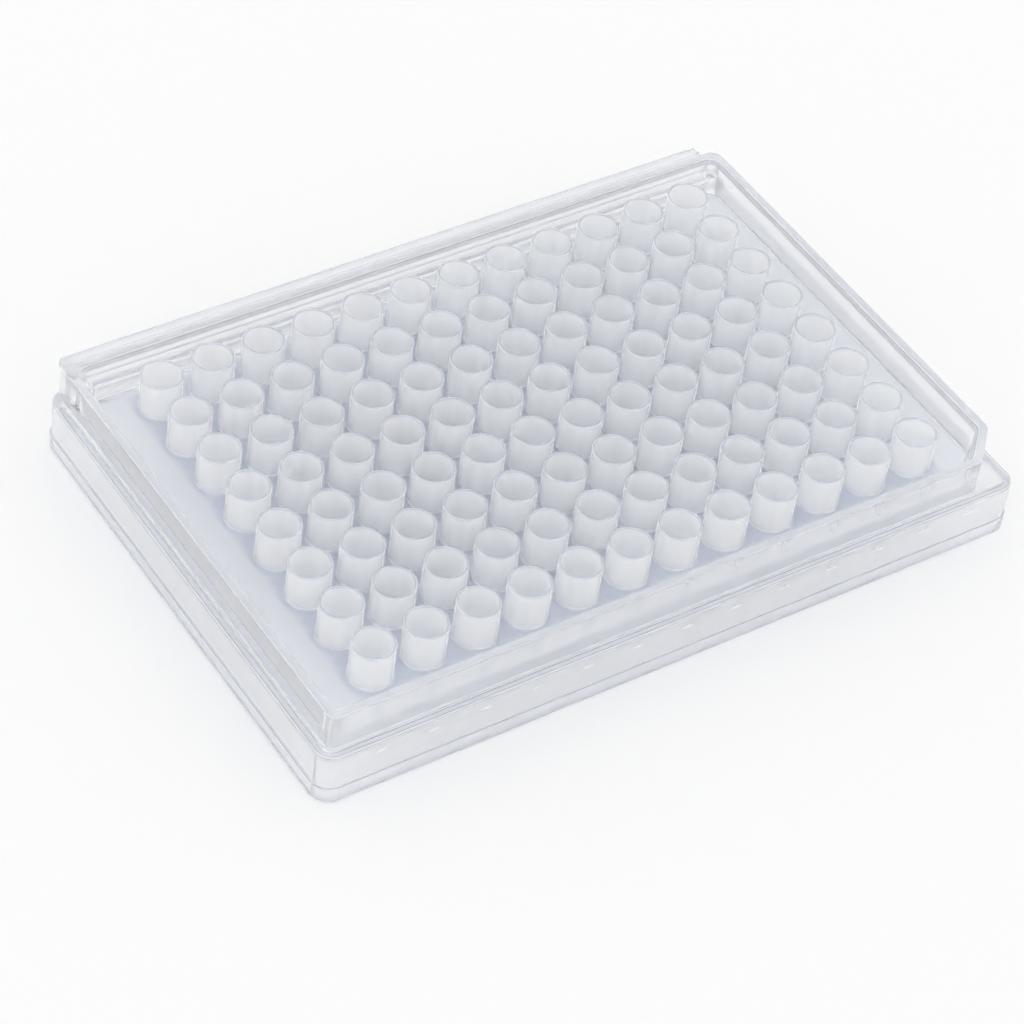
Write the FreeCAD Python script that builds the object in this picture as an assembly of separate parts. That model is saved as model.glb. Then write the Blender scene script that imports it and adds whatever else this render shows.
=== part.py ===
import FreeCAD, Part
import os
from math import sqrt

# Clear 96-well plate, moulded in one piece.
#
# A hollow skirt carries a thin deck.  Ninety-six open tubes, the wells, stand through the deck
# on a square grid, and a low wall on the ledge at the top of the skirt makes a tray round them.
# Origin: middle of the footprint, on the face that the plate stands on.
# +X runs along the columns, 1 to 12; +Y runs from row H to row A; +Z is up.  Millimetres.

# ---- driving dimensions ----
FOOT_LENGTH = 127.76      # footprint along the columns
FOOT_WIDTH = 85.48        # footprint along the rows
FOOT_RADIUS = 3.18        # corner radius of the footprint
SHEET = 1.3               # general thickness of the moulding
EDGE = 0.3                # rounding of the edges that are handled

COLUMNS = 12
ROWS = 8
PITCH = 9.0               # well to well, both ways

WELL_TOP = 17.2           # rim of the wells above the table, the overall height
WALL_TOP = 16.0           # rim of the wall round the tray
DECK_TOP = 10.3           # floor of the tray
LEDGE_TOP = 9.4           # ledge outside the wall, where a lid rests
FLANGE_HEIGHT = 2.8       # foot flange of the skirt, held by grippers and nests
WELL_BOTTOM = 3.2         # underside of the wells above the table

FLANGE_STEP = 0.25        # the skirt is set back from the foot flange
WALL_INSET = 1.98         # outside of the wall, in from the footprint
WALL_RADIUS = 2.4         # upright corners of the wall
WALL_CUT = 6.0            # cut corner of the wall, beside well H12
BEVEL_WIDTH = 0.6         # the inside of the rim slopes in by this much
BEVEL_HEIGHT = 0.9        # and down by this much
WALL_LEAN = 0.4           # below the bevel the inside comes in by this much down to the deck
TRAY_RADIUS = 2.0         # upright corners of the tray, inside the wall
TRAY_FOOT = 0.6           # round at the foot of the tray's sides
NEAR_RADIUS = 1.0         # upright corner of the wall and the tray beside well H1

WELL_OUTER = 3.475        # radius outside a well, above the deck
WELL_WALL = 0.4           # thickness of a well's wall
WELL_FLOOR = 1.2          # thickness of a well's floor

GROOVE_WIDTH = 1.0        # groove along the ledge
GROOVE_DEPTH = 0.5
GROOVE_LAND = 0.36        # land left between the groove and the edge of the skirt
GROOVE_SETBACK = 3.6      # the groove ends this far short of the back of the skirt

LIP_THICK = 1.2           # lip outside the wall, behind row A
LIP_RISE = 0.3            # its top stands this far over the rim of the wall
LIP_SETBACK = 3.5         # it ends this far short of the wall's corner beside well A12
POST_LENGTH = 2.6         # at its other end it stands on a post, this long, on the ledge
POST_LAND = 0.05          # land left outside the post, up to the ledge's round edge

SHELF_DROP = 1.9          # shelf in the tray behind row A, below the rim of the wall
SHELF_FRONT = 36.6        # its front face, from the middle of the plate

# ---- sizes that follow ----
SKIRT_LENGTH = FOOT_LENGTH - 2 * FLANGE_STEP
SKIRT_WIDTH = FOOT_WIDTH - 2 * FLANGE_STEP
WALL_LENGTH = FOOT_LENGTH - 2 * WALL_INSET
WALL_WIDTH = FOOT_WIDTH - 2 * WALL_INSET
SKIRT_INSIDE = FLANGE_STEP + SHEET          # inside of the skirt, in from the footprint
WALL_INSIDE = WALL_INSET + SHEET            # inside of the wall at its rim
DECK_UNDER = DECK_TOP - SHEET
LEDGE_UNDER = LEDGE_TOP - SHEET
BEVEL_FOOT = WALL_TOP - BEVEL_HEIGHT        # where the bevel inside the rim ends
SHELF_TOP = WALL_TOP - SHELF_DROP
SHELF_INSET = FOOT_WIDTH / 2 - SHELF_FRONT  # front face of the shelf, in from the footprint
POST_INSET = FLANGE_STEP + EDGE + POST_LAND  # outer face of the post, in from the footprint


def upright_edges(solid):
    """The edges that run from one level to another, which are the corners of a prism."""
    return [e for e in solid.Edges if abs(e.Vertexes[0].Z - e.Vertexes[-1].Z) > EDGE]


def edges_at(shape, level):
    """The edges that lie at one level."""
    boxes = [(e, e.BoundBox) for e in shape.Edges]
    return [e for e, box in boxes if abs(box.ZMin - level) < 0.01 and abs(box.ZMax - level) < 0.01]


def plan(inset, level, cut=0.0, back=None):
    """Closed outline, this far inside the footprint; a cut corner lies at +X -Y."""
    x = FOOT_LENGTH / 2 - inset
    y = FOOT_WIDTH / 2 - inset
    far = y if back is None else FOOT_WIDTH / 2 - back
    corners = [(x, far), (-x, far), (-x, -y), (x - cut, -y), (x, cut - y)]
    if cut == 0:
        corners.pop()
    points = [FreeCAD.Vector(px, py, level) for px, py in corners]
    return Part.makePolygon(points + points[:1])


def wall_cut(inset):
    """Length of the wall's cut corner on an outline parallel to the wall's outside."""
    return WALL_CUT - (inset - WALL_INSET) * (2 - sqrt(2))


def is_near(edge):
    """Whether an upright edge belongs to the corner beside well H1."""
    return edge.BoundBox.XMax < 0 and edge.BoundBox.YMax < 0


def slab(low, high, inset, radius, cut=0.0, near=None, back=None):
    """Straight-sided block between two levels; the corner beside H1 may have its own radius."""
    block = Part.Face(plan(inset, low, cut, back)).extrude(FreeCAD.Vector(0, 0, high - low))
    if near is None:
        return block.makeFillet(radius, upright_edges(block))
    block = block.makeFillet(near, [e for e in upright_edges(block) if is_near(e)])
    return block.makeFillet(radius, [e for e in upright_edges(block) if not is_near(e)])


def tray_inset(level):
    """How far the inside of the wall lies in from the footprint, at one level."""
    if level > BEVEL_FOOT:
        return WALL_INSIDE + BEVEL_WIDTH * (WALL_TOP - level) / BEVEL_HEIGHT
    lean = WALL_LEAN * (BEVEL_FOOT - level) / (BEVEL_FOOT - DECK_TOP)
    return WALL_INSIDE + BEVEL_WIDTH + lean


def tray_outline(level, back=None):
    """Outline of the tray at one level, with its round corners."""
    inset = tray_inset(level)
    block = slab(level, level + 1, inset, TRAY_RADIUS, wall_cut(inset), NEAR_RADIUS, back)
    return [f for f in block.Faces if f.BoundBox.ZMax < level + 0.01][0].OuterWire


def box_between(low, high):
    """Box from its low corner to its high corner."""
    size = [b - a for a, b in zip(low, high)]
    return Part.makeBox(*size, FreeCAD.Vector(*low))


def skirt_and_wall():
    """Outside of the moulding: foot flange, skirt and the wall on its ledge."""
    flange = slab(0, FLANGE_HEIGHT, 0, FOOT_RADIUS)
    skirt = slab(0, LEDGE_TOP, FLANGE_STEP, FOOT_RADIUS - FLANGE_STEP)
    skirt = skirt.makeFillet(EDGE, edges_at(skirt, LEDGE_TOP))
    wall = slab(0, WALL_TOP, WALL_INSET, WALL_RADIUS, WALL_CUT, NEAR_RADIUS)
    wall = wall.makeFillet(EDGE, edges_at(wall, WALL_TOP))
    return flange.fuse([skirt, wall]).removeSplitter()


def tray():
    """Space inside the wall, above the deck and the shelf: drafted, with a round foot."""
    lower = [tray_outline(level, SHELF_INSET) for level in (DECK_TOP, SHELF_TOP)]
    upper = [tray_outline(level) for level in (SHELF_TOP, BEVEL_FOOT, WALL_TOP)]
    space = Part.makeLoft(lower, True, True)
    space = space.makeFillet(TRAY_FOOT, edges_at(space, DECK_TOP))
    return space.fuse(Part.makeLoft(upper, True, True))


def underside():
    """Hollow below the ledge, the deck and the shelf, open downwards."""
    cut = wall_cut(WALL_INSIDE)
    under_shelf = FOOT_LENGTH / 2 - WALL_INSIDE - TRAY_RADIUS
    back = FOOT_WIDTH / 2 - WALL_INSIDE
    below_ledge = slab(0, LEDGE_UNDER, SKIRT_INSIDE, FOOT_RADIUS - SKIRT_INSIDE)
    below_deck = slab(0, DECK_UNDER, WALL_INSIDE, NEAR_RADIUS, cut)
    low = (-under_shelf, SHELF_FRONT + SHEET, 0)
    below_shelf = box_between(low, (under_shelf, back, SHELF_TOP - SHEET))
    return below_ledge.fuse([below_deck, below_shelf])


def ledge_groove():
    """Groove along three sides of the ledge, with round ends near the back corners."""
    outer = FLANGE_STEP + GROOVE_LAND
    inner = outer + GROOVE_WIDTH
    low = LEDGE_TOP - GROOVE_DEPTH
    ring = slab(low, LEDGE_TOP, outer, FOOT_RADIUS - outer)
    ring = ring.cut(slab(low, LEDGE_TOP, inner, FOOT_RADIUS - inner))
    back = SKIRT_WIDTH / 2 - GROOVE_SETBACK - GROOVE_WIDTH / 2
    half = FOOT_LENGTH / 2
    groove = ring.cut(box_between((-half, back, low), (half, FOOT_WIDTH, LEDGE_TOP)))
    middle = half - (outer + inner) / 2
    ends = []
    for x in (-middle, middle):
        place = FreeCAD.Vector(x, back, low)
        ends.append(Part.makeCylinder(GROOVE_WIDTH / 2, GROOVE_DEPTH, place))
    return groove.fuse(ends)


def back_lip():
    """Lip that stands out from the wall behind row A, with a post under its left end."""
    left = -WALL_LENGTH / 2
    right = WALL_LENGTH / 2 - LIP_SETBACK
    inner = WALL_WIDTH / 2 - WALL_RADIUS
    high = WALL_TOP + LIP_RISE
    lip = box_between((left, inner, high - LIP_THICK), (right, SKIRT_WIDTH / 2, high))
    post_end = (left + POST_LENGTH, FOOT_WIDTH / 2 - POST_INSET, high)
    post = box_between((left, inner, LEDGE_UNDER), post_end)
    parts = []
    for block in (lip, post):
        corner = [e for e in upright_edges(block) if e.BoundBox.XMax < left + EDGE]
        outer = [e for e in corner if e.BoundBox.YMin > inner + EDGE]
        parts.append(block.makeFillet(WALL_RADIUS / 2, outer))
    step = box_between((left, inner, WALL_TOP), (right, WALL_WIDTH / 2, high))
    return parts[0].fuse(parts[1]).cut(step)


def well_tube():
    """Outside of one well, from its rim down through the deck."""
    place = FreeCAD.Vector(0, 0, WELL_BOTTOM)
    return Part.makeCylinder(WELL_OUTER, WELL_TOP - WELL_BOTTOM, place)


def well_bore():
    """Inside of one well, down to its flat floor."""
    place = FreeCAD.Vector(0, 0, WELL_BOTTOM + WELL_FLOOR)
    return Part.makeCylinder(WELL_OUTER - WELL_WALL, WELL_TOP - place.z, place)


def at_each_well(pattern):
    """Copies of a shape at the ninety-six places of the grid."""
    copies = []
    for row in range(ROWS):
        for column in range(COLUMNS):
            x = (column - (COLUMNS - 1) / 2) * PITCH
            y = ((ROWS - 1) / 2 - row) * PITCH
            copies.append(pattern.translated(FreeCAD.Vector(x, y, 0)))
    return copies


def well_plate():
    """The whole moulding as one solid."""
    space = tray()
    body = skirt_and_wall().fuse(back_lip())
    body = body.cut([space, underside(), ledge_groove()])
    rim = [e for e in edges_at(body, WALL_TOP) if e.distToShape(space)[0] < 0.01]
    body = body.makeFillet(EDGE, rim)
    body = body.fuse(at_each_well(well_tube()))
    return body.cut(at_each_well(well_bore()))


os.makedirs("parts", exist_ok=True)
plate = well_plate()
if len(plate.Solids) == 1:
    plate = plate.Solids[0]
plate.exportStep("parts/well_plate.step")
well_volume = well_bore().Volume / 1000
print("solids", len(plate.Solids), "valid", plate.isValid(), "box", plate.BoundBox)
print("plastic %.2f cm3" % (plate.Volume / 1000), "one well about %.2f mL" % well_volume)
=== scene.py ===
from math import pi, radians

import bpy
import numpy as np
from mathutils import Matrix, Vector


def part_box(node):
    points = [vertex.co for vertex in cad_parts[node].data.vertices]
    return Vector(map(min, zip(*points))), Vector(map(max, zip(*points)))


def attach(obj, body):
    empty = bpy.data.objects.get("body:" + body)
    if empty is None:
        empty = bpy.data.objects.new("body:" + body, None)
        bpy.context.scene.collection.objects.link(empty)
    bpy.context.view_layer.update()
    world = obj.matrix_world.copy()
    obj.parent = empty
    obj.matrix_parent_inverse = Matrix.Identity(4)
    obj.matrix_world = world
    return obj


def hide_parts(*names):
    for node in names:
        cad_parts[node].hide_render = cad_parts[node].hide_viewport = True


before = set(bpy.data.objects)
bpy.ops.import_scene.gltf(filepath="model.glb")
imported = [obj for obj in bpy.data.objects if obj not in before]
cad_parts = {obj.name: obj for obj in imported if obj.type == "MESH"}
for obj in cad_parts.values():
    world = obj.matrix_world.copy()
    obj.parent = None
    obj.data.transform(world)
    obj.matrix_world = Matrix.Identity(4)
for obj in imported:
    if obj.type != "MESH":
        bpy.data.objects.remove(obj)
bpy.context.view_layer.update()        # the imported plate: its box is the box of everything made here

bl_info = {
    "name": "Clear Well Plate",
    "version": (1, 0, 0),
    "blender": (4, 5, 0),
    "location": "View3D > Sidebar > Well Plate",
    "description": "A clear moulded plate of ninety-six wells on a plain pale table",
    "category": "Add Mesh",
}

FOOT_LOW, FOOT_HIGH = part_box("well_plate")


# ---- settings ----

def size(name, default, description):
    """A length in metres, shown in the scene's own unit."""
    return bpy.props.FloatProperty(
        name=name, description=description, default=default, min=0.0, precision=5,
        unit="LENGTH")


def share(name, default, description, high=1.0):
    """A plain number from nought upwards."""
    return bpy.props.FloatProperty(
        name=name, description=description, default=default, min=0.0, max=high, precision=4)


def tint(name, default, description):
    """A colour."""
    return bpy.props.FloatVectorProperty(
        name=name, description=description, default=default, min=0.0, max=1.0,
        size=3, subtype="COLOR")


def place(name, default, description):
    """A point in metres."""
    return bpy.props.FloatVectorProperty(
        name=name, description=description, default=default, size=3, precision=5,
        subtype="TRANSLATION", unit="LENGTH")


class PlateShape(bpy.types.PropertyGroup):
    """Sizes of the moulding"""
    length: size("Footprint length", FOOT_HIGH.x - FOOT_LOW.x, "Footprint along the columns")
    width: size("Footprint width", FOOT_HIGH.y - FOOT_LOW.y, "Footprint along the rows")
    foot_radius: size("Foot radius", 0.00318, "Corner radius of the footprint")
    columns: bpy.props.IntProperty(name="Columns", description="Wells in a row", default=12, min=1)
    rows: bpy.props.IntProperty(name="Rows", description="Wells in a column", default=8, min=1)
    pitch: size("Pitch", 0.009, "Well to well, both ways")
    well_top: size("Well rim", FOOT_HIGH.z, "Rim of the wells above the table")
    wall_top: size("Wall rim", 0.016, "Rim of the tray's wall above the table")
    deck_top: size("Deck", 0.0103, "Floor of the tray above the table")
    deck_under: size("Under the deck", 0.009, "Underside of the deck above the table")
    ledge_top: size("Ledge", 0.0094, "Ledge outside the wall above the table")
    ledge_under: size("Under the ledge", 0.0081, "Underside of the ledge above the table")
    flange_top: size("Flange", 0.0028, "Top of the foot flange above the table")
    well_bottom: size("Well bottom", 0.0032, "Underside of the wells above the table")
    flange_step: size("Flange step", 0.00025, "The skirt's set-back from the flange")
    skirt_inside: size("Skirt inside", 0.00155, "Inside of the skirt, in from the footprint")
    wall_outside: size("Wall outside", 0.00198, "Outside of the wall, in from the footprint")
    wall_inside: size("Wall inside", 0.00328, "Inside of the wall's rim, in from the footprint")
    bevel_width: size("Bevel width", 0.0006, "The inside of the rim slopes in by this much")
    bevel_height: size("Bevel height", 0.0009, "The inside of the rim slopes down by this much")
    wall_lean: size("Wall lean", 0.0004, "Below the bevel the wall thickens to the deck by this")
    wall_radius: size("Wall radius", 0.0024, "Upright corners of the wall, outside")
    tray_radius: size("Tray radius", 0.002, "Upright corners of the tray")
    near_radius: size("Near radius", 0.001, "Upright corner of wall and tray beside well H1")
    tray_foot: size("Tray foot", 0.0006, "Round at the foot of the tray's sides")
    wall_cut: size("Cut corner", 0.006, "Cut corner of the wall, beside well H12")
    edge: size("Edge", 0.0003, "Round of the handled edges")
    well_outer: size("Well outside", 0.003475, "Radius outside a well")
    well_wall: size("Well wall", 0.0004, "Thickness of a well's wall")
    well_floor: size("Well floor", 0.0012, "Thickness of a well's floor")
    well_foot: size("Well foot", 0.00045, "Round between a well and the deck")
    bore_foot: size("Bore foot", 0.0005, "Round at the bottom of a well, inside")
    groove_width: size("Groove width", 0.001, "Groove along the ledge")
    groove_depth: size("Groove depth", 0.0005, "Depth of the groove")
    groove_land: size("Groove land", 0.00036, "Land between the groove and the skirt's edge")
    groove_setback: size("Groove set-back", 0.0036, "The groove ends this far short of the back")
    lip_thick: size("Lip thickness", 0.0012, "Lip that stands out behind row A")
    lip_rise: size("Lip rise", 0.0003, "The lip's top over the wall's rim")
    lip_setback: size("Lip set-back", 0.0035, "The lip ends this far short of the corner by A12")
    post_length: size("Post length", 0.0026, "Post on the ledge, under the lip's other end")
    post_land: size("Post land", 0.00005, "Land outside the post, up to the ledge's round edge")
    shelf_drop: size("Shelf drop", 0.0019, "Shelf behind row A, below the wall's rim")
    shelf_front: size("Shelf front", 0.0366, "Front face of the shelf, from the plate's middle")
    sheet: size("Sheet", 0.0013, "Thickness of the shelf and of its front")


class PlateFinish(bpy.types.PropertyGroup):
    """Clear polystyrene with a milky look"""
    clear: tint("Clear colour", (0.997, 0.998, 1.0), "What one clear face lets through")
    milk: tint("Milk colour", (0.992, 0.995, 0.999), "Colour that the plastic scatters")
    shade: tint("Shade", (0.7, 0.74, 0.84), "Colour of the shaded parts")
    milk_walls: share("Milk in the walls", 0.15, "Share of light that the tray's walls scatter")
    milk_skirt: share("Milk in the skirt", 0.3, "Share of light that the outer faces scatter")
    milk_wells: share("Milk in the wells", 0.42, "Share of light that the wells scatter")
    milk_bores: share("Milk in the bores", 0.88, "Share that the inside of a well scatters")
    milk_deck: share("Milk in the deck", 0.6, "Share of light that the deck scatters")
    milk_under: share("Milk below", 0.1, "Share of light scattered under the deck")
    shade_walls: share("Shade of the walls", 0.06, "How far the walls' colour goes to the shade")
    shade_skirt: share("Shade of the skirt", 0.0, "How far the skirt's colour goes to the shade")
    shade_deck: share("Shade between wells", 1.0, "How far the deck goes to it between wells")
    shade_edge: share("Shade of the border", 0.08, "How far the deck goes to it round the wells")
    frost_wells: share("Frost on the wells", 0.06, "Roughness of the wells' outsides")
    frost_bores: share("Frost in the bores", 0.3, "Roughness of the wells' insides")
    frost_deck: share("Frost on the deck", 0.5, "Roughness of the deck")
    polish: share("Roughness", 0.03, "Roughness of the polished faces")
    # painted shade: darkens the rims of the wells
    rim_painted_shade: share("Rim line", 0.7, "How much darker the rims of the wells are")
    # painted highlight: a white band at the foot of each well
    foot_painted_highlight: share("Foot line", 1.0, "How much whiter the feet of the wells are")
    # painted highlight along the round edges of the wall's rim, the lip and the ledge
    edge_painted_highlight: share("White line", 0.7, "How much whiter the round edges of the walls are")
    # painted shade along the flange's step, the bottom edge and the groove
    step_painted_shade: share("Dark line", 0.6, "How much darker the foot and its step are")
    # painted shade on the inner bevel of the wall's rim
    bevel_painted_shade: share("Bevel line", 0.6, "How much darker the inner bevel of the rim is")
    # painted shade and painted highlight: the wells drawn as if seen bent through the front wall and
    # skirt
    painted_refraction: share("Marks", 0.3, "How dark the wells' marks show through the front wall")
    # painted shade on the flat tops of the wall's rim and the lip
    land: share("Land", 0.4, "How much darker the flat top of the wall is")
    outline: share("Outline", 1.0, "How much more a face shows its gloss where it is seen edge on")
    through: share("Scattered through", 0.5, "Share of the scattered light that passes through")
    bend: share("Index of refraction", 1.59, "Index of refraction of polystyrene", 3.0)
    grain: size("Grain", 0.000004, "Height of the fine waviness of the faces")
    waves: share("Waves", 260.0, "Fine waves per metre", 10000.0)
    unevenness: share("Unevenness", 0.02, "How much the roughness varies")


class Studio(bpy.types.PropertyGroup):
    """Table, light and camera"""
    table: tint("Table", (0.98, 0.98, 0.981), "Colour of the table top")
    sky: share("Sky", 1.0, "Strength of the light from all round", 10.0)
    backdrop: share("Backdrop", 1.0, "Strength of what the camera sees beyond the table", 10.0)
    horizon: share("Horizon", 0.9, "Strength that shines and clear faces see level", 10.0)
    zenith: share("Zenith", 1.2, "Strength that shines and clear faces see above", 10.0)
    zenith_from: share("Zenith from", 0.5, "Height on the sky's ball where the zenith begins")
    table_size: size("Table size", 6.0, "Side of the table top")
    camera_at: place("Camera", (-0.25990, -0.32015, 0.39669), "Where the camera stands")
    camera_aim: place("Aim", (-0.017111, -0.018008, 0.0172), "What the camera points at")
    camera_roll: bpy.props.FloatProperty(
        name="Roll", description="Turn of the camera round its line of sight",
        default=radians(8.684), subtype="ANGLE", unit="ROTATION")
    lens: bpy.props.FloatProperty(
        name="Lens", description="Focal length on a sensor 36 mm wide", default=127.326,
        min=1.0, unit="CAMERA")


# ---- shape ----

STEPS = 9                # steps along one side of a well's square cell
ARC = 4                  # steps of half a corner
LIP_CORNER = 0.0012      # plan radius of the lip's left end
LIP_END = 0.0003         # plan radius of the lip's right end
HAIR = 0.00002           # a step that stands for a sharp corner
ROOT_ROUND = 0.0003      # round where a well meets the deck's underside
LIP_ROUND = 0.0002       # round of the lip's outer edge
SHELF_ROUND = 0.00015    # rounds of the shelf's front edge and of its root
SOLE_ROUND = 0.0002      # round of the foot's lower outer edge
WALL_ROOT = 0.00025      # round where the wall meets the ledge
FLAT_ROUND = 0.0001      # small rounds of the skirt and below the deck


def rounding(start, end, steps):
    """Sine and cosine of evenly spaced angles, as two arrays of steps + 1 numbers."""
    angle = np.radians(np.linspace(start, end, steps + 1))
    return np.cos(angle), np.sin(angle)


def cell_directions():
    """Unit vectors round a well, 10 degrees apart, with one at each corner of its square."""
    angle = np.radians(5 + 10 * np.arange(4 * STEPS))
    return np.cos(angle), np.sin(angle)


def border_offsets(half):
    """Distances along a square's side from its middle: half times the tangent of the angle."""
    return half * np.tan(np.radians(np.linspace(-45, 45, STEPS + 1)))


def well_profiles(s):
    """Two profiles (radius, height), from the deck over the rim to the well's floor, and below.

    Each profile's first radius is nought, and stands for the square border of the cell.
    """
    outer, bore = s.well_outer, s.well_outer - s.well_wall
    crown = s.well_wall / 2
    floor = s.well_bottom + s.well_floor
    c, d = rounding(270, 180, 3)
    foot = (outer + s.well_foot + s.well_foot * c, s.deck_top + s.well_foot + s.well_foot * d)
    c, d = rounding(0, 180, 4)
    rim = (outer - crown + crown * c, s.well_top - crown + crown * d)
    c, d = rounding(0, -90, 3)
    sole = (bore - s.bore_foot + s.bore_foot * c, floor + s.bore_foot + s.bore_foot * d)
    above = np.concatenate([[(0.0, s.deck_top)], *(np.stack(p, 1) for p in (foot, rim, sole))])
    c, d = rounding(90, 180, 2)
    root = (outer + ROOT_ROUND + ROOT_ROUND * c, s.deck_under - ROOT_ROUND + ROOT_ROUND * d)
    c, d = rounding(0, -90, 2)
    heel = (outer - s.edge + s.edge * c, s.well_bottom + s.edge + s.edge * d)
    below = np.concatenate([[(0.0, s.deck_under)], *(np.stack(p, 1) for p in (root, heel))])
    return above, below


def revolved_cells(s, profile):
    """Points (well, level, step) and (well) for the poles, of one profile at every well.

    A point is the well's centre, plus the profile's radius along the step's direction. On the
    border it is plus half a pitch over the larger of the direction's two parts, a square.
    """
    c, d = cell_directions()
    radius = np.repeat(profile[:, :1], len(c), axis=1)
    radius[0] = s.pitch / 2 / np.maximum(abs(c), abs(d))
    x = (np.arange(s.columns) - (s.columns - 1) / 2) * s.pitch
    y = (np.arange(s.rows) - (s.rows - 1) / 2) * s.pitch
    middle = np.stack(np.meshgrid(x, y), -1).reshape(-1, 1, 1, 2)
    points = np.empty((len(middle), len(profile), len(c), 3))
    points[..., :2] = middle + radius[..., None] * np.stack([c, d], -1)
    points[..., 2] = profile[:, 1, None]
    poles = np.concatenate([middle[:, 0, 0], np.full((len(middle), 1), profile[-1, 1])], 1)
    return points, poles


def cut_at(s, inset):
    """Length of the wall's cut corner on an outline parallel to the wall's outside."""
    return s.wall_cut - (inset - s.wall_outside) * (2 - np.sqrt(2))


def woven(index, closed=True):
    """Quads of a grid of point numbers, whose last axis runs round and whose last but one steps."""
    ahead = np.roll(index, -1, axis=-1)
    if not closed:
        index, ahead = index[..., :-1], ahead[..., :-1]
    corners = [index[..., :-1, :], ahead[..., :-1, :], ahead[..., 1:, :], index[..., 1:, :]]
    return np.stack(corners, -1).reshape(-1, 4)


class Course:
    """The places round the plate at which every ring has a point, anticlockwise from above.

    A place is a direction and a free point. A ring's point is the free point, held inside the
    rectangle of its corner centres, plus the ring's corner radius along the direction.
    """

    def __init__(self, s):
        self.s = s
        half = s.pitch / 2
        x_end, y_end = s.columns * half, s.rows * half
        steps = border_offsets(half)
        x_side = self.side(s.columns, s.pitch, steps)
        y_side = self.side(s.rows, s.pitch, steps)
        far = 1.0
        back = s.width / 2 - s.flange_step - s.groove_setback - s.groove_width / 2
        self.groove_end = back
        back_rise = back + s.groove_width / 2 * np.sin(np.radians([0, 30, 60, 90]))
        lip_end = s.length / 2 - s.wall_outside - s.lip_setback
        c, d = rounding(0, 90, 2)
        lip_steps = lip_end - LIP_END + LIP_END * c
        lip_steps = np.concatenate([[lip_end + HAIR], lip_steps])
        post_end = s.wall_outside - s.length / 2 + s.post_length
        post_steps = np.array([-lip_end, -lip_end - HAIR, post_end + HAIR, post_end])
        quarter = np.linspace(0, 45, ARC + 1)
        corner = np.concatenate([quarter, 45 + quarter])
        corner_small = np.linspace(0, 90, 2 * ARC + 2)
        parts = [
            ("right", 0, far, y_side, x_end, y_side),
            ("right_back", 0, far, back_rise, x_end, y_end),
            ("back_right_arc", corner_small, far, far, x_end, y_end),
            ("lip_end", 90, lip_steps, far, x_end, y_end),
            ("back", 90, x_side[::-1], far, x_side[::-1], y_end),
            ("post_end", 90, post_steps, far, -x_end, y_end),
            ("back_left_arc", 90 + corner_small, -far, far, -x_end, y_end),
            ("left_back", 180, -far, back_rise[::-1], -x_end, y_end),
            ("left", 180, -far, y_side[::-1], -x_end, y_side[::-1]),
            ("front_left_arc", 180 + corner_small, -far, -far, -x_end, -y_end),
            ("front", 270, x_side, -far, x_side, -y_end),
            ("cut", 270 + corner, far, -far, x_end, -y_end),
        ]
        rows, names = [], []
        for name, *columns in parts:
            columns = np.broadcast_arrays(*(np.atleast_1d(np.asarray(v, float)) for v in columns))
            rows.append(np.stack(columns, 1))
            names += [name] * len(columns[0])
        table = np.concatenate(rows)
        self.name = np.array(names)
        self.cos, self.sin = np.cos(np.radians(table[:, 0])), np.sin(np.radians(table[:, 0]))
        self.free_x, self.free_y = table[:, 1], table[:, 2]
        self.border = table[:, 3:5]
        angle = table[:, 0]
        self.by_front = self.named("front") | (self.named("cut") & (np.arange(len(angle)) <
                                               np.flatnonzero(self.named("cut"))[0] + ARC + 1))
        self.by_right = self.named("right") | (self.named("cut") & ~self.by_front)
        self.near = self.named("left_back", "left", "front_left_arc", "front")
        self.at_back = self.named("back_right_arc", "lip_end", "back", "post_end",
                                  "back_left_arc")
        self.on_shelf = self.at_back.copy()
        self.on_shelf[np.flatnonzero(self.at_back)[[0, -1]]] = False
        self.on_lip = self.named("lip_end", "back", "post_end", "back_left_arc")
        self.on_lip[np.flatnonzero(self.named("lip_end"))[0]] = False
        self.on_post = self.named("back_left_arc")
        self.on_post[np.flatnonzero(self.named("post_end"))[-1]] = True
        self.in_pocket = self.named("lip_end", "back", "post_end") & (
            abs(self.free_x) < lip_end + HAIR / 2)

    @staticmethod
    def side(count, pitch, steps):
        """Border coordinates along one side of the field of wells."""
        middles = (np.arange(count) - (count - 1) / 2) * pitch
        points = (middles[:, None] + steps[None, :-1]).ravel()
        return np.append(points, middles[-1] + steps[-1])

    def named(self, *names):
        """Which places belong to these stretches."""
        return np.isin(self.name, names)

    def ring(self, inset, radius, height, cut=None, near=None, back=None):
        """Points of one ring: this far inside the footprint, with this corner radius.

        The corner beside H1 may have its own radius, and the back its own inset.
        """
        s = self.s
        half_x, half_y = s.length / 2 - inset, s.width / 2 - inset
        own = radius if near is None else np.where(self.near, near, radius)
        reach = radius if cut is None else cut + radius * np.tan(radians(22.5))
        x_high = np.where(self.by_front, half_x - reach, half_x - radius)
        y_low = np.where(self.by_right, reach, own) - half_y
        y_high = half_y - radius if back is None else s.width / 2 - back - radius
        x = np.clip(self.free_x, own - half_x, x_high) + own * self.cos
        y = np.clip(self.free_y, y_low, y_high - HAIR * ~self.at_back) + own * self.sin
        return np.stack([x, y, np.broadcast_to(height, x.shape)], 1)

    def edge_ring(self, height):
        """Points of the border of the field of wells."""
        return np.column_stack([self.border, np.full(len(self.border), height)])


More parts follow.
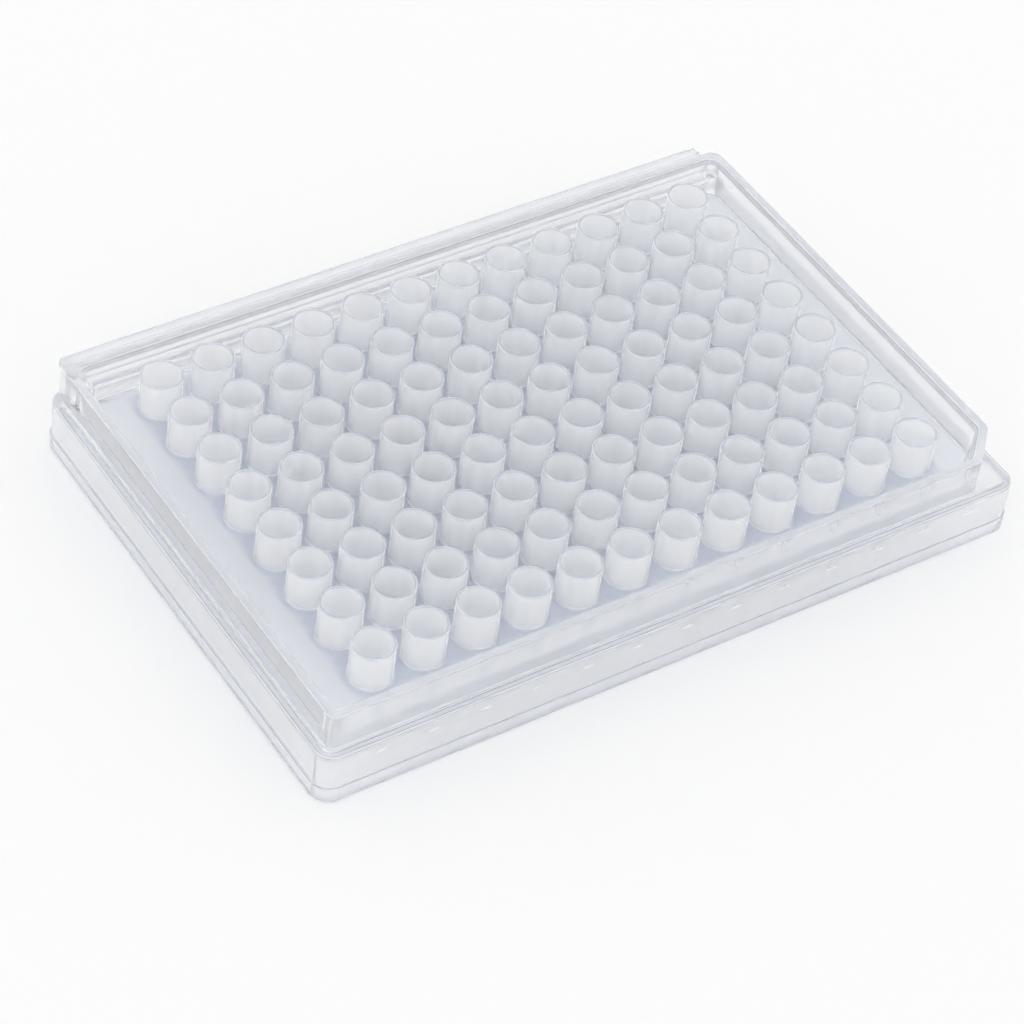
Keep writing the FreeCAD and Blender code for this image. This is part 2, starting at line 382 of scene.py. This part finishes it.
def groove_rings(course):
    """Four rings of the groove: its half width ends in half circles near the back corners."""
    s = course.s
    middle = s.flange_step + s.groove_land + s.groove_width / 2
    half = np.full(len(course.name), s.groove_width / 2)
    past = np.clip(course.free_y - course.groove_end, 0, None)
    ends = course.named("right_back", "left_back")
    half[ends] = np.sqrt(np.clip(half[ends] ** 2 - past[ends] ** 2, 0, None))
    half[course.at_back] = 0.0
    half[half < 1e-6] = 0.0
    low = s.ledge_top - np.where(half > 0, s.groove_depth, 0.0)
    land = s.flange_step + s.edge
    ledge = course.ring(land, s.foot_radius - land, s.ledge_top)
    rings = []
    for across, level in ((half, s.ledge_top), (half * 0.8, low), (-half * 0.8, low),
                          (-half, s.ledge_top)):
        ring = course.ring(middle + across, s.foot_radius - middle - across, level)
        ring[course.on_post] = ledge[course.on_post]
        rings.append(ring)
    return rings


def end_outline(course, out_y):
    """Plan of the lip or of its post: x, y and outward normal at the places of the lip.

    From the right it is a small corner, a straight edge, an arc at the left end and a straight
    side down to the start of the wall's own corner.
    """
    s = course.s
    left = s.wall_outside - s.length / 2
    wall_y = s.width / 2 - s.wall_outside
    start_y = wall_y - s.wall_radius
    along = course.free_x[course.named("lip_end")][1:]
    c, d = rounding(0, 90, 2)
    end_y = out_y - LIP_END + LIP_END * d
    straight = course.free_x[course.named("back", "post_end")]
    c, d = rounding(90, 180, ARC)
    arc_x, arc_y = left + LIP_CORNER + LIP_CORNER * c, out_y - LIP_CORNER + LIP_CORNER * d
    down = np.array([wall_y, wall_y - HAIR, (wall_y + start_y) / 2, start_y + 0.0006, start_y])
    x = np.concatenate([along, straight, arc_x, np.full(5, left)])
    y = np.concatenate([end_y, np.full(len(straight), out_y), arc_y, np.minimum(down, arc_y[-1])])
    normal_x = np.concatenate([[1.0, 0.7, 0.0], np.zeros(len(straight)), c, np.full(5, -1.0)])
    normal_y = np.concatenate([[0.0, 0.7, 1.0], np.ones(len(straight)), d, np.zeros(5)])
    return x, y, normal_x, normal_y


def lip_rings(course, rim, wall):
    """Rings of the lip, on the places where it stands; elsewhere they lie on the rim.

    The lip's section is a step up from the rim, a flat top out to the skirt's face, a rounded
    edge and an underside back to the wall. Its left end wraps the wall's corner.
    """
    s = course.s
    top, low = s.wall_top + s.lip_rise, s.wall_top + s.lip_rise - s.lip_thick
    wall_y = s.width / 2 - s.wall_outside
    left = s.wall_outside - s.length / 2
    on = course.on_lip
    edge = LIP_ROUND
    c, d = rounding(90, 0, 2)
    section = [(0.0, s.wall_top, True), (0.0, top, True)]
    section += [(edge * (1 - a), top - edge * (1 - b), False) for a, b in zip(c, d)]
    section += [(0.0, low + edge / 2, False), (edge / 2, low, False)]
    x, y, normal_x, normal_y = end_outline(course, s.width / 2 - s.flange_step)
    stepped = y >= wall_y - 1e-9       # the rest of the left end lies level with the rim
    inner_x = np.concatenate([x[:-2 * ARC - 2], np.linspace(left + LIP_CORNER, left, ARC + 2),
                              np.full(4, left)])
    inner_y = np.where(stepped, wall_y, y)
    rings = []
    for back, level, inner in section:
        ring = rim.copy()
        px = inner_x if inner else x - back * normal_x
        py = inner_y if inner else y - back * normal_y
        if inner and level == top:
            px = np.clip(px, left + edge, None)
        flat = ~stepped & (level > low + edge)
        ring[on] = np.stack([np.where(flat, x, px), np.where(flat, y, py),
                             np.where(flat, s.wall_top, level)], 1)
        rings.append(ring)
    last = rim.copy()
    last[on] = wall[on]
    rings.append(last)
    return rings


def tray_rings(course):
    """Rings of the tray: deck, round foot, side, shelf at the back, bevel and round rim edge."""
    s = course.s
    bevel_foot, shelf_top = s.wall_top - s.bevel_height, s.wall_top - s.shelf_drop
    shelf_inset = s.width / 2 - s.shelf_front
    rings = [course.edge_ring(s.deck_top)]

    def inside(height):
        """The side's inset: a steady lean below the bevel, then the bevel."""
        lean = s.wall_lean * (bevel_foot - height) / (bevel_foot - s.deck_top)
        bevel = s.bevel_width * (s.wall_top - height) / s.bevel_height
        return s.wall_inside + np.where(height > bevel_foot, bevel, s.bevel_width + lean)

    def add(inset, less, height, back=None):
        """Put in one ring, its corner radii this much less than the tray's own."""
        rings.append(course.ring(inset, s.tray_radius - less, height, cut_at(s, inset),
                                 s.near_radius - less, back))

    c, d = rounding(270, 360, 4)
    for a, b in zip(c, d):
        height, less = s.deck_top + s.tray_foot * (1 + b), s.tray_foot * (1 - a)
        add(inside(height) + less, less, height, shelf_inset + less)
    # front edge of the shelf, its top and its root; elsewhere the same rings climb the side
    small = SHELF_ROUND
    c, d = rounding(180, 90, 2)
    for step, (a, b) in enumerate(zip(c, d)):
        climb = shelf_top - small * (1.5 - step / 2)
        height = np.where(course.on_shelf, shelf_top - small * (1 - b), climb)
        add(inside(height), 0.0, height, shelf_inset - small * (1 + a))
    for step, (across, up) in enumerate(((small, 0.0), (small * 0.3, small * 0.3), (0.0, small))):
        climb = shelf_top + small * (step + 1) / 2
        height = np.where(course.on_shelf, shelf_top + up, climb)
        add(inside(height) + np.where(course.on_shelf, across, 0.0), 0.0, height)
    for height in (bevel_foot - 0.5 * small, bevel_foot + 0.5 * small):
        add(inside(np.float64(height)), 0.0, height)
    slope = np.arctan2(s.bevel_height, s.bevel_width)
    middle = s.wall_inside - s.edge * np.tan(slope / 2)
    c, d = rounding(90 - np.degrees(slope), 90, 3)
    for a, b in zip(c, d):
        inset = middle + s.edge * a
        add(inset, min(inset - s.wall_inside, 0.0), s.wall_top - s.edge + s.edge * b)
    return rings


def frame_rings(course):
    """All the rings, from the border of the wells over the wall, down the skirt and back below."""
    s = course.s
    ring = course.ring
    rings = tray_rings(course)
    # rim, lip and outside of the wall
    c, d = rounding(90, 0, 3)
    over = []
    for a, b in zip(c, d):
        less = s.edge - s.edge * a
        inset, height = s.wall_outside + less, s.wall_top - s.edge + s.edge * b
        over.append(ring(inset, s.wall_radius - less, height, cut_at(s, inset),
                         s.near_radius - less))
    wall = over[-1].copy()
    wall[course.on_lip, 2] = s.wall_top + s.lip_rise - s.lip_thick
    x, y, normal_x, normal_y = end_outline(
        course, s.width / 2 - s.flange_step - s.edge - s.post_land)
    post = course.on_post[course.on_lip]
    outline = np.stack([x, y], 1)[post]
    outward = np.stack([normal_x, normal_y], 1)[post]
    outward[0] = (0, 1)
    wall[course.on_post, :2] = outline
    rings += lip_rings(course, over[0], wall)
    for outer in over[1:]:
        outer[course.on_lip] = wall[course.on_lip]
        rings.append(outer)
    root, post_root = WALL_ROOT, 0.8 * s.post_land
    c, d = rounding(180, 270, 3)
    for a, b in zip(c, d):
        inset = s.wall_outside - root * (1 + a)
        foot = ring(inset, s.wall_radius + root * (1 + a), s.ledge_top + root * (1 + b),
                    cut_at(s, inset), s.near_radius + root * (1 + a))
        foot[course.on_post, :2] = outline + outward * post_root * (1 + a)
        foot[course.on_post, 2] = s.ledge_top + post_root * (1 + b)
        rings.append(foot)
    rings += groove_rings(course)
    # edge of the ledge, skirt, flange and sole
    c, d = rounding(90, 0, 3)
    section = [(s.flange_step + s.edge - s.edge * a, s.ledge_top - s.edge + s.edge * b)
               for a, b in zip(c, d)]
    step, small = s.flange_step, FLAT_ROUND
    section += [(step, s.flange_top + small), (step - small / 2, s.flange_top + small / 4),
                (small, s.flange_top), (small / 4, s.flange_top - small / 4),
                (0.0, s.flange_top - small)]
    c, d = rounding(0, -90, 2)
    section += [(SOLE_ROUND * (1 - a), SOLE_ROUND * (1 + b)) for a, b in zip(c, d)]
    section += [(s.skirt_inside - small, 0.0), (s.skirt_inside, small)]
    c, d = rounding(180, 90, 2)
    section += [(s.skirt_inside + s.edge + s.edge * a, s.ledge_under - s.edge + s.edge * b)
                for a, b in zip(c, d)]
    for inset, height in section:
        rings.append(ring(inset, s.foot_radius - inset, height))
    # below the wall, up into the pocket under the shelf, and to the deck's underside
    ceiling = s.wall_top - s.shelf_drop - s.sheet
    front = s.width / 2 - s.shelf_front - s.sheet
    inner = s.wall_inside
    pocket = [(inner - small, s.ledge_under), (inner, s.ledge_under + small),
              (inner, ceiling - small), (inner + small, ceiling), (front - small, ceiling),
              (front, ceiling - small), (front, s.deck_under + small),
              (front + small, s.deck_under)]
    plain = pocket[:2] + [(inner, s.deck_under - small)] + [(inner + small, s.deck_under)] * 5
    for (inset, height), (plain_inset, plain_height) in zip(pocket, plain):
        outer = ring(plain_inset, s.near_radius, plain_height, cut_at(s, plain_inset))
        deep = ring(inset, s.near_radius, height, cut_at(s, inset))
        outer[course.in_pocket] = deep[course.in_pocket]
        rings.append(outer)
    rings.append(course.edge_ring(s.deck_under))
    return np.stack(rings)


def merged(points, quads, triangles):
    """Points and faces with doubled points joined, and faces that this leaves flat dropped.

    A quad that loses one point becomes a triangle.
    """
    key = np.round(points * 1e6).astype(np.int64)
    _, first, number = np.unique(key, axis=0, return_index=True, return_inverse=True)
    number = number.reshape(-1)
    quads, triangles = number[quads], number[triangles]
    doubled = quads == np.roll(quads, -1, axis=1)
    count = doubled.sum(1)
    crossed = (quads[:, 0] == quads[:, 2]) | (quads[:, 1] == quads[:, 3])
    thin = quads[(count == 1) & ~crossed]
    thin = thin[~doubled[(count == 1) & ~crossed]].reshape(-1, 3)
    whole = quads[(count == 0) & ~crossed]
    triangles = np.concatenate([triangles, thin])
    flat = (triangles == np.roll(triangles, -1, axis=1)).any(1)
    return points[first], whole, triangles[~flat]


def moulding(s):
    """Points, quads and triangles of the whole moulding, one closed surface."""
    above, below = well_profiles(s)
    points, quads, triangles = [], [], []
    start = 0
    for profile, upward in ((above, True), (below, False)):
        grid, poles = revolved_cells(s, profile)
        index = start + np.arange(grid[..., 0].size).reshape(grid.shape[:3])
        pole = start + index.size + np.arange(len(poles))
        faces = woven(index)
        last = index[:, -1]
        ahead = np.roll(last, -1, axis=1)
        fan = np.stack([last, ahead, np.broadcast_to(pole[:, None], last.shape)], -1).reshape(-1, 3)
        quads.append(faces if upward else faces[:, ::-1])
        triangles.append(fan if upward else fan[:, ::-1])
        points += [grid.reshape(-1, 3), poles]
        start += index.size + len(poles)
    rings = frame_rings(Course(s))
    index = start + np.arange(rings[..., 0].size).reshape(rings.shape[:2])
    quads.append(woven(index)[:, ::-1])
    points.append(rings.reshape(-1, 3))
    return merged(np.concatenate(points), np.concatenate(quads), np.concatenate(triangles))


# ---- finish ----

def finish_amounts(s, f, points):
    """Amounts over the points: milk, shade and frost, and masks of where a point lies.

    A point of a well lies within its outside radius of the nearest centre of the grid. The deck
    is what else lies inside the tray at the deck's own height. The outer faces are those outside
    the middle line of the wall's thickness.
    """
    x, y, z = points.T
    slack = 1e-6
    across, along = abs(x), abs(y)
    near_x = (np.round(x / s.pitch - 0.5) + 0.5) * s.pitch
    near_y = (np.round(y / s.pitch - 0.5) + 0.5) * s.pitch
    reach = np.hypot(x - near_x, y - near_y)
    half_x, half_y = s.columns * s.pitch / 2, s.rows * s.pitch / 2
    in_field = (across < half_x) & (along < half_y)
    well = in_field & (reach < s.well_outer + slack)
    bore = well & (reach < s.well_outer - s.well_wall + slack)
    inner = s.wall_inside + s.bevel_width
    tray = (across < s.length / 2 - inner) & (along < s.width / 2 - inner)
    deck = tray & ~well & (abs(z - s.deck_top) < s.tray_foot / 2)
    below = (well | tray) & ~bore & (z < s.deck_under + slack)
    middle = (s.wall_outside + s.wall_inside) / 2
    outer = (across > s.length / 2 - middle) | (along > s.width / 2 - middle)
    face_shade = np.where(z < s.ledge_top - s.edge / 2, f.shade_skirt, f.shade_walls)
    deck_shade = np.where(in_field, f.shade_deck, f.shade_edge)
    parts = [below, bore, well, deck, outer]
    milk = [f.milk_under, f.milk_bores, f.milk_wells, f.milk_deck, f.milk_skirt]
    shade = [0.0, 0.0, 0.0, deck_shade, face_shade]
    frost = [f.polish, f.frost_bores, f.frost_wells, f.frost_deck, f.polish]
    return {
        "milk": np.select(parts, milk, f.milk_walls),
        "shade": np.select(parts, shade, f.shade_walls),
        "frost": np.select(parts, frost, f.polish),
        "tube": (well & ~bore & ~below) * 1.0,
        "well": well * 1.0,
        "outside": (outer | well | below) * 1.0,
        # the front outer faces, where the painted refraction stripes go
        "front": (outer & (y < 0) & (across < half_x + s.pitch / 4)) * 1.0,
    }


def wired(tree, kind, inputs, **settings):
    """Outputs of a new node, its inputs given by place or name and either set or joined."""
    node = tree.nodes.new(kind)
    for name, value in settings.items():
        setattr(node, name, value)
    for index, value in inputs.items():
        if isinstance(value, Number):
            value = value.socket
        if isinstance(value, bpy.types.NodeSocket):
            tree.links.new(value, node.inputs[index])
        else:
            node.inputs[index].default_value = value
    return node.outputs


class Number:
    """A number that nodes work out, so that sums on it can be written as sums."""

    def __init__(self, tree, socket):
        """Keep the tree and the output that carries the number."""
        self.tree, self.socket = tree, socket

    def worked(self, operation, *others, clamp=False):
        """The result of one operation on this number and others."""
        inputs = dict(enumerate((self, *others)))
        result = wired(self.tree, "ShaderNodeMath", inputs, operation=operation, use_clamp=clamp)
        return Number(self.tree, result[0])

    def __add__(self, other):
        """The sum with a number or an output."""
        return self.worked("ADD", other)

    def __mul__(self, other):
        """The product with a number or an output."""
        return self.worked("MULTIPLY", other)

    def taken_from(self, whole):
        """What is left of a whole, not less than nought."""
        return self.worked("MULTIPLY", -1.0).worked("ADD", whole, clamp=True)

    def band(self, centre, half):
        """One where this is within half a width of a centre, and nought elsewhere."""
        return self.worked("COMPARE", centre, half)

    def ramp(self, low, high, at_low, at_high):
        """A smooth rise or fall from one value to another."""
        inputs = {0: self, 1: low, 2: high, 3: at_low, 4: at_high}
        result = wired(self.tree, "ShaderNodeMapRange", inputs, interpolation_type="SMOOTHSTEP")
        return Number(self.tree, result[0])


def painted_highlights(s, f, height, tube, well, lens):
    """Share of painted highlight: the wells' feet, the round edges of wall, lip and ledge, and the
    lenses.
    """
    # painted highlight: the round at each well's foot drawn white, fading out just above it
    foot = height.ramp(s.deck_top + s.well_foot, s.deck_top + s.well_foot * 1.6, f.foot_painted_highlight, 0.0)
    # painted highlight: white bands on the round edges of the wall's rim, the ledge and the lip, kept
    # off the wells
    edges = height.band(s.wall_top - s.edge / 2, s.edge * 0.4)
    for top in (s.ledge_top, s.wall_top + s.lip_rise):
        edges += height.band(top - s.edge / 2, s.edge * 0.4)
    # painted highlight: a white band on each stripe low on the skirt
    lower = lens * height.band(s.ledge_top - s.sheet * 1.7, s.edge * 0.8) * (2 * f.painted_refraction)
    white = (foot * tube).worked("MAXIMUM", edges * well.taken_from(f.edge_painted_highlight))
    return white.worked("MAXIMUM", lower)


def painted_shade_lines(s, f, height, well, outside, lens):
    """Share of painted shade: rims, the foot and its step, the groove, lands, bevel, the stripes where
    the wells show through the front wall, and the lenses.
    """
    # painted shade: the top of each well's rim is drawn darker, rising towards the rim
    dark = height.ramp(s.well_top - s.edge, s.well_top - s.edge * 0.7, 0.0, f.rim_painted_shade)
    # painted shade: dark bands at the flange's step, along the bottom edge and in the groove
    steps = height.band(s.flange_top, s.flange_step / 2) + height.band(0.0, s.edge)
    steps += height.band(s.ledge_top - s.groove_depth, s.edge / 3)
    # painted shade: the flat tops of the wall's rim and of the lip drawn darker, kept off the wells
    lands = height.band(s.wall_top, s.edge / 6) + height.band(s.wall_top + s.lip_rise, s.edge / 6)
    # painted shade: a dark band on the inner bevel of the wall's rim, on the inner faces only
    bevel = height.band(s.wall_top - s.bevel_height * 0.7, s.bevel_height * 0.25)
    # painted shade: the stripes darken up the front wall below the bevel, and a dark band lies on each
    # stripe above the skirt's white one
    painted_refraction = height.ramp(s.deck_top, s.wall_top - s.bevel_height, 0.0, f.painted_refraction)
    painted_refraction *= height.worked("LESS_THAN", s.wall_top)
    upper = height.band(s.ledge_top - s.sheet * 1.7 + s.edge * 2, s.edge * 1.2) * f.painted_refraction
    dark += steps * f.step_painted_shade
    dark += lands * well.taken_from(f.land)
    dark += bevel * outside.taken_from(f.bevel_painted_shade)
    return dark + lens * painted_refraction + lens * upper


def clear_polystyrene(s, f):
    """Clear, glossy moulded plastic: glass-like, with a share of scattered light, into whose colour
    painted highlights and painted shade are mixed.

    A face seen edge on scatters less and shows more of its gloss, by the third power of how edge
    on it is.
    """
    material = bpy.data.materials.new("clear_polystyrene")
    material.use_nodes = True
    tree = material.node_tree
    milk, shade, frost, tube, well, outside, front = [
        Number(tree, wired(tree, "ShaderNodeAttribute", {}, attribute_name=name)["Fac"])
        for name in ("milk", "shade", "frost", "tube", "well", "outside", "front")]
    where = wired(tree, "ShaderNodeTexCoord", {})["Object"]
    x, _, height = (Number(tree, out) for out in wired(tree, "ShaderNodeSeparateXYZ", {0: where}))
    # stripes once a pitch on the front faces, where painted refraction draws the wells as seen through
    # the wall and skirt
    lens = (x * (2 * pi / s.pitch)).worked("COSINE").worked("MAXIMUM", 0.0).worked("POWER", 2.0)
    lens *= front
    white = painted_highlights(s, f, height, tube, well, lens)
    dark = painted_shade_lines(s, f, height, well, outside, lens)
    edge_on = Number(tree, wired(tree, "ShaderNodeLayerWeight", {0: 0.5})["Facing"])
    edge_on = edge_on.worked("POWER", 3.0) * f.outline
    # painted light: the painted highlights clear the shade, the painted shade is added, and both raise
    # the scattered share so that they show
    shade *= white.taken_from(1.0)
    shade = shade.worked("ADD", dark, clamp=True)
    for line in (white, dark):
        milk = milk.worked("MAXIMUM", line)
    milk *= edge_on.taken_from(1.0)
    tints = {0: shade, 6: (*f.milk, 1), 7: (*f.shade, 1)}
    colour = wired(tree, "ShaderNodeMix", tints, data_type="RGBA")[2]
    wave = Number(tree, wired(tree, "ShaderNodeTexNoise", {0: where, 2: f.waves, 3: 2.0})[0])
    bump = wired(tree, "ShaderNodeBump", {"Strength": 1.0, "Distance": f.grain, "Height": wave})[0]
    clear = tree.nodes["Principled BSDF"]
    clear.inputs["Base Color"].default_value = (*f.clear, 1)
    clear.inputs["Transmission Weight"].default_value = 1.0
    clear.inputs["IOR"].default_value = f.bend
    tree.links.new((frost + wave * f.unevenness).socket, clear.inputs["Roughness"])
    tree.links.new(bump, clear.inputs["Normal"])
    through = wired(tree, "ShaderNodeBsdfTranslucent", {0: colour})[0]
    face = wired(tree, "ShaderNodeBsdfDiffuse", {0: colour})[0]
    cloud = wired(tree, "ShaderNodeMixShader", {0: 1 - f.through, 1: through, 2: face})[0]
    both = wired(tree, "ShaderNodeMixShader", {0: milk, 1: clear.outputs[0], 2: cloud})[0]
    tree.links.new(both, tree.nodes["Material Output"].inputs["Surface"])
    return material


# ---- operators ----

TABLE_GAP = 0.00005      # the table lies this far below the foot, so that no faces coincide
SHARP = radians(50)      # faces that meet at a larger angle keep a sharp edge between them
NORMAL_WEIGHT = 50       # how far large faces win over small ones in the shading


class PLATE_OT_moulding(bpy.types.Operator):
    """Make the well plate, one moulding"""
    bl_idname = "plate.moulding"
    bl_label = "Moulding"
    bl_options = {"REGISTER", "UNDO"}

    def execute(self, context):
        points, quads, triangles = moulding(context.scene.plate_shape)
        mesh = bpy.data.meshes.new("plate")
        mesh.from_pydata(points.tolist(), [], quads.tolist() + triangles.tolist())
        if mesh.validate():
            raise RuntimeError("the moulding's mesh has faults")
        mesh.shade_smooth()
        mesh.set_sharp_from_angle(angle=SHARP)
        shape, finish = context.scene.plate_shape, context.scene.plate_finish
        for name, amount in finish_amounts(shape, finish, points).items():
            mesh.attributes.new(name, "FLOAT", "POINT").data.foreach_set("value", amount)
        plate = bpy.data.objects.new("plate", mesh)
        context.scene.collection.objects.link(plate)
        weigh = plate.modifiers.new("even_normals", "WEIGHTED_NORMAL")
        weigh.keep_sharp = True
        weigh.weight = NORMAL_WEIGHT
        mesh.materials.append(clear_polystyrene(shape, finish))
        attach(plate, "root")
        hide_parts("well_plate")
        return {"FINISHED"}


class PLATE_OT_stage(bpy.types.Operator):
    """Make the table, the light and the camera"""
    bl_idname = "plate.stage"
    bl_label = "Stage"
    bl_options = {"REGISTER", "UNDO"}

    def execute(self, context):
        scene = context.scene
        studio = scene.plate_studio
        add_table(scene, studio)
        add_light(scene, studio)
        add_camera(scene, studio)
        return {"FINISHED"}


def add_table(scene, studio):
    """A plain square table top just under the plate."""
    half = studio.table_size / 2
    x, y = np.meshgrid([-half, half], [-half, half])
    corners = np.stack([x, y, np.full_like(x, -TABLE_GAP)], -1).reshape(-1, 3)
    mesh = bpy.data.meshes.new("table")
    mesh.from_pydata(corners.tolist(), [], [(0, 1, 3, 2)])
    table = bpy.data.objects.new("table", mesh)
    scene.collection.objects.link(table)
    material = bpy.data.materials.new("table_top")
    material.use_nodes = True
    nodes, links = material.node_tree.nodes, material.node_tree.links
    shader = nodes["Principled BSDF"]
    shader.inputs["Base Color"].default_value = (*studio.table, 1)
    shader.inputs["Roughness"].default_value = 0.9
    shader.inputs["Specular IOR Level"].default_value = 0.0
    mesh.materials.append(material)


def add_light(scene, studio):
    """An even pale sky; shines and clear faces see it darker towards the horizon."""
    world = bpy.data.worlds.new("studio")
    scene.world = world
    # the sky is nearly even, so light finds it without being aimed
    world.cycles.sampling_method = "NONE"
    world.use_nodes = True
    tree = world.node_tree
    direction = wired(tree, "ShaderNodeTexCoord", {})["Generated"]
    up = Number(tree, wired(tree, "ShaderNodeSeparateXYZ", {0: direction})["Z"])
    seen = up.ramp(0.0, studio.zenith_from, studio.horizon, studio.zenith)
    path = wired(tree, "ShaderNodeLightPath", {})
    shiny, passed = Number(tree, path["Is Glossy Ray"]), path["Is Transmission Ray"]
    clear = shiny.worked("ADD", passed, clamp=True)
    clear *= Number(tree, path["Is Diffuse Ray"]).taken_from(1.0)
    strength = wired(tree, "ShaderNodeMix", {0: clear, 2: studio.sky, 3: seen})[0]
    strength = wired(tree, "ShaderNodeMix",
                     {0: path["Is Camera Ray"], 2: strength, 3: studio.backdrop})[0]
    background = tree.nodes["Background"]
    background.inputs["Color"].default_value = (1, 1, 1, 1)
    tree.links.new(strength, background.inputs["Strength"])


def add_camera(scene, studio):
    """A long lens from above the corner by well H1."""
    data = bpy.data.cameras.new("camera")
    data.lens = studio.lens
    data.sensor_width = 36.0
    data.clip_start = 0.01
    camera = bpy.data.objects.new("camera", data)
    scene.collection.objects.link(camera)
    sight = Vector(studio.camera_aim) - Vector(studio.camera_at)
    turn = sight.to_track_quat("-Z", "Y").to_matrix() @ Matrix.Rotation(studio.camera_roll, 3, "Z")
    camera.matrix_world = Matrix.Translation(studio.camera_at) @ turn.to_4x4()
    scene.camera = camera


class PLATE_PT_sidebar(bpy.types.Panel):
    """Lists the plate's operators and settings"""
    bl_idname = "PLATE_PT_sidebar"
    bl_label = "Well Plate"
    bl_space_type = "VIEW_3D"
    bl_region_type = "UI"
    bl_category = "Well Plate"

    def draw(self, context):
        layout = self.layout
        for operator in (PLATE_OT_moulding, PLATE_OT_stage):
            layout.operator(operator.bl_idname)
        for group in (context.scene.plate_shape, context.scene.plate_finish,
                      context.scene.plate_studio):
            box = layout.box()
            for name in group.__annotations__:
                box.prop(group, name)


CLASSES = (PlateShape, PlateFinish, Studio, PLATE_OT_moulding, PLATE_OT_stage, PLATE_PT_sidebar)
GROUPS = {"plate_shape": PlateShape, "plate_finish": PlateFinish, "plate_studio": Studio}


def register():
    """Register the classes and give the scene its three groups of settings."""
    for cls in CLASSES:
        bpy.utils.register_class(cls)
    for name, group in GROUPS.items():
        setattr(bpy.types.Scene, name, bpy.props.PointerProperty(type=group))


def unregister():
    """Take away what register gave."""
    for name in GROUPS:
        delattr(bpy.types.Scene, name)
    for cls in reversed(CLASSES):
        bpy.utils.unregister_class(cls)


def main():
    register()
    bpy.context.scene.view_settings.view_transform = "Standard"
    # light crosses many faces of clear plastic before it comes out again
    cycles = bpy.context.scene.cycles
    cycles.max_bounces = 32
    cycles.transmission_bounces = 32
    cycles.glossy_bounces = 16
    cycles.diffuse_bounces = 16
    cycles.blur_glossy = 0.0
    bpy.ops.plate.stage()
    bpy.ops.plate.moulding()


if __name__ == "__main__":
    main()
